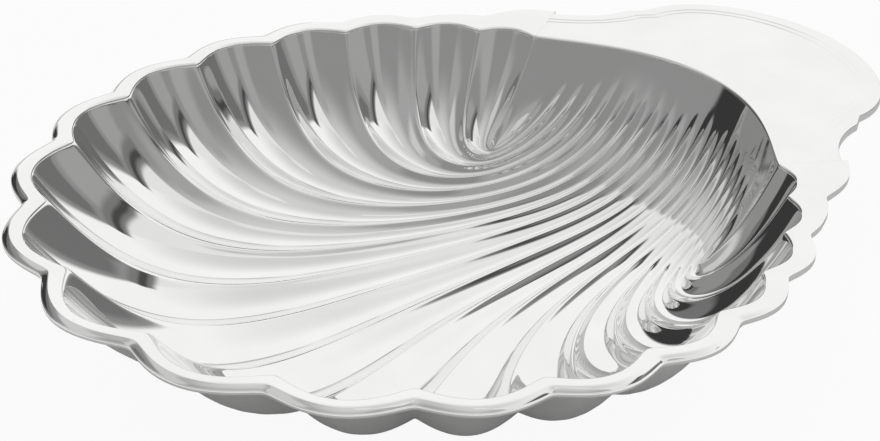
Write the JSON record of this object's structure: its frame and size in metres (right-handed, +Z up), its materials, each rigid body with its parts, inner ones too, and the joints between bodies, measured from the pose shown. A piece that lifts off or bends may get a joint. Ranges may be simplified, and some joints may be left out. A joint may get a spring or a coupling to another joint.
{
  "type": "serving tray",
  "caption": "Scallop-shell serving dish in mirror-polished metal: a deep fluted bowl, a flat scalloped border and a hinge-shaped handle plate at the back.",
  "frame": {"origin": "under the middle of the tray's outline, on the surface it rests on", "axes": "+X along the shell from its front lobe to the handle, +Y across the shell, +Z up out of the bowl"},
  "size_m": [0.3012, 0.2476, 0.0418],
  "materials": {
    "bowl_metal": "mirror polished",
    "border_metal": "mirror polished",
    "handle_metal": "mirror polished",
    "solder": "dull, as run"
  },
  "bodies": {
    "root": {"shell_bowl": "bowl_metal", "rim_border": "border_metal", "handle_plate": "handle_metal", "solder_seam": "solder"}
  },
  "joints": []
}
